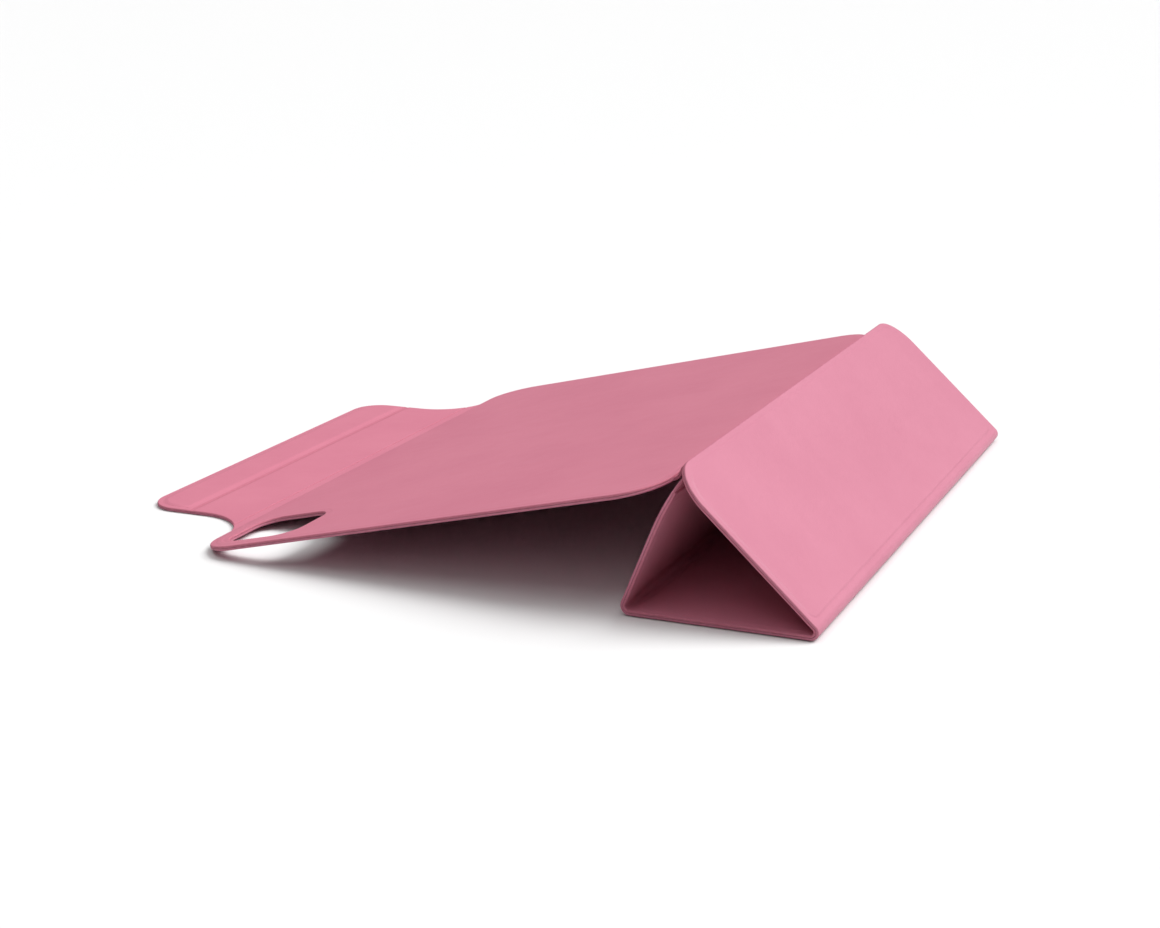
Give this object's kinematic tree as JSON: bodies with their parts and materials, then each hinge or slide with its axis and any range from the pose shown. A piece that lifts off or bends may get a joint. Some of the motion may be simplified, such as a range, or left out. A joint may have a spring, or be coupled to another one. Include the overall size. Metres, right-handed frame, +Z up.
{
  "type": "tablet case",
  "caption": "Magnetic folio case for a tablet, its three front panels rolled into a low wedge stand and its clasp flap laid open.",
  "frame": {"origin": "centre of the bounding box's base, on the table, in the open stand pose", "axes": "+X from the clasp flap to the stand, +Y along the long edges, +Z up from the table"},
  "size_m": [0.2794, 0.25, 0.0497],
  "materials": {
    "outer_skin": "pink smooth synthetic leather with a fine grain, satin",
    "lining": "pink microfibre, brushed",
    "board": "stiff fibre board",
    "magnet": "nickel plated",
    "catch_plate": "rolled"
  },
  "bodies": {
    "back_panel": {"back_skin": "outer_skin", "back_board": "board", "back_lining": "lining", "device_magnets": "magnet"},
    "spine_lower": {"spine_lower_skin": "outer_skin", "spine_lower_lining": "lining", "spine_base_crease": "outer_skin"},
    "spine_upper": {"spine_upper_skin": "outer_skin", "spine_upper_lining": "lining", "spine_fold_crease": "outer_skin"},
    "front_panel_1": {"front_1_skin": "outer_skin", "front_1_board": "board", "front_1_lining": "lining", "stand_catch_plates": "catch_plate", "spine_front_crease": "outer_skin"},
    "front_panel_2": {"front_2_skin": "outer_skin", "front_2_board": "board", "front_2_lining": "lining", "front_fold_1_crease": "outer_skin"},
    "front_panel_3": {"front_3_skin": "outer_skin", "front_3_board": "board", "front_3_lining": "lining", "cover_edge_magnets": "magnet", "front_fold_2_crease": "outer_skin"},
    "flap_inner": {"flap_inner_skin": "outer_skin", "flap_inner_lining": "lining", "flap_base_crease": "outer_skin"},
    "flap_outer": {"flap_outer_skin": "outer_skin", "flap_outer_lining": "lining", "flap_wrap_crease": "outer_skin"},
    "flap_tip": {"flap_tip_skin": "outer_skin", "flap_tip_board": "board", "flap_tip_lining": "lining", "clasp_magnets": "magnet", "flap_tip_crease": "outer_skin"}
  },
  "joints": [
    {"name": "spine_base", "type": "hinge", "parent": "back_panel", "child": "spine_lower", "pos_m": [0.08699, 0, 0.04299], "axis": [0, -1, 0], "range_deg": [-20, 25.51], "deforming": ["spine_base_crease"]},
    {"name": "spine_middle", "type": "hinge", "parent": "spine_lower", "child": "spine_upper", "pos_m": [0.0907, 0, 0.04672], "axis": [0, -1, 0], "range_deg": [0, 203.72], "deforming": ["spine_fold_crease"]},
    {"name": "spine_front", "type": "hinge", "parent": "spine_upper", "child": "front_panel_1", "pos_m": [0.09044, 0, 0.04208], "axis": [0, -1, 0], "range_deg": [0, 76.79], "deforming": ["spine_front_crease"]},
    {"name": "front_fold_1", "type": "hinge", "parent": "front_panel_1", "child": "front_panel_2", "pos_m": [0.07454, 0, 0.00193], "axis": [0, 1, 0], "range_deg": [0, 112.73], "deforming": ["front_fold_1_crease"]},
    {"name": "front_fold_2", "type": "hinge", "parent": "front_panel_2", "child": "front_panel_3", "pos_m": [0.13898, 0, 0.00215], "axis": [0, 1, 0], "range_deg": [0, 136.65], "deforming": ["front_fold_2_crease"]},
    {"name": "flap_base", "type": "hinge", "parent": "back_panel", "child": "flap_inner", "pos_m": [-0.0914, 0, 0.0007], "axis": [0, 1, 0], "range_deg": [-13.3, 11.5], "deforming": ["flap_base_crease"]},
    {"name": "flap_wrap", "type": "hinge", "parent": "flap_inner", "child": "flap_outer", "pos_m": [-0.1047, 0, 0.0007], "axis": [0, 1, 0], "range_deg": [0, 130.4], "deforming": ["flap_wrap_crease"]},
    {"name": "flap_tip_fold", "type": "hinge", "parent": "flap_outer", "child": "flap_tip", "pos_m": [-0.1185, 0, 0.0007], "axis": [0, 1, 0], "range_deg": [0, 24.81], "deforming": ["flap_tip_crease"]}
  ],
  "couplings": [
    {"joint": "spine_front", "follows": "spine_middle", "ratio": 0.37689},
    {"joint": "front_fold_1", "follows": "spine_middle", "ratio": 0.55331},
    {"joint": "front_fold_2", "follows": "spine_middle", "ratio": 0.67073},
    {"joint": "flap_tip_fold", "follows": "flap_wrap", "ratio": 0.19018}
  ]
}
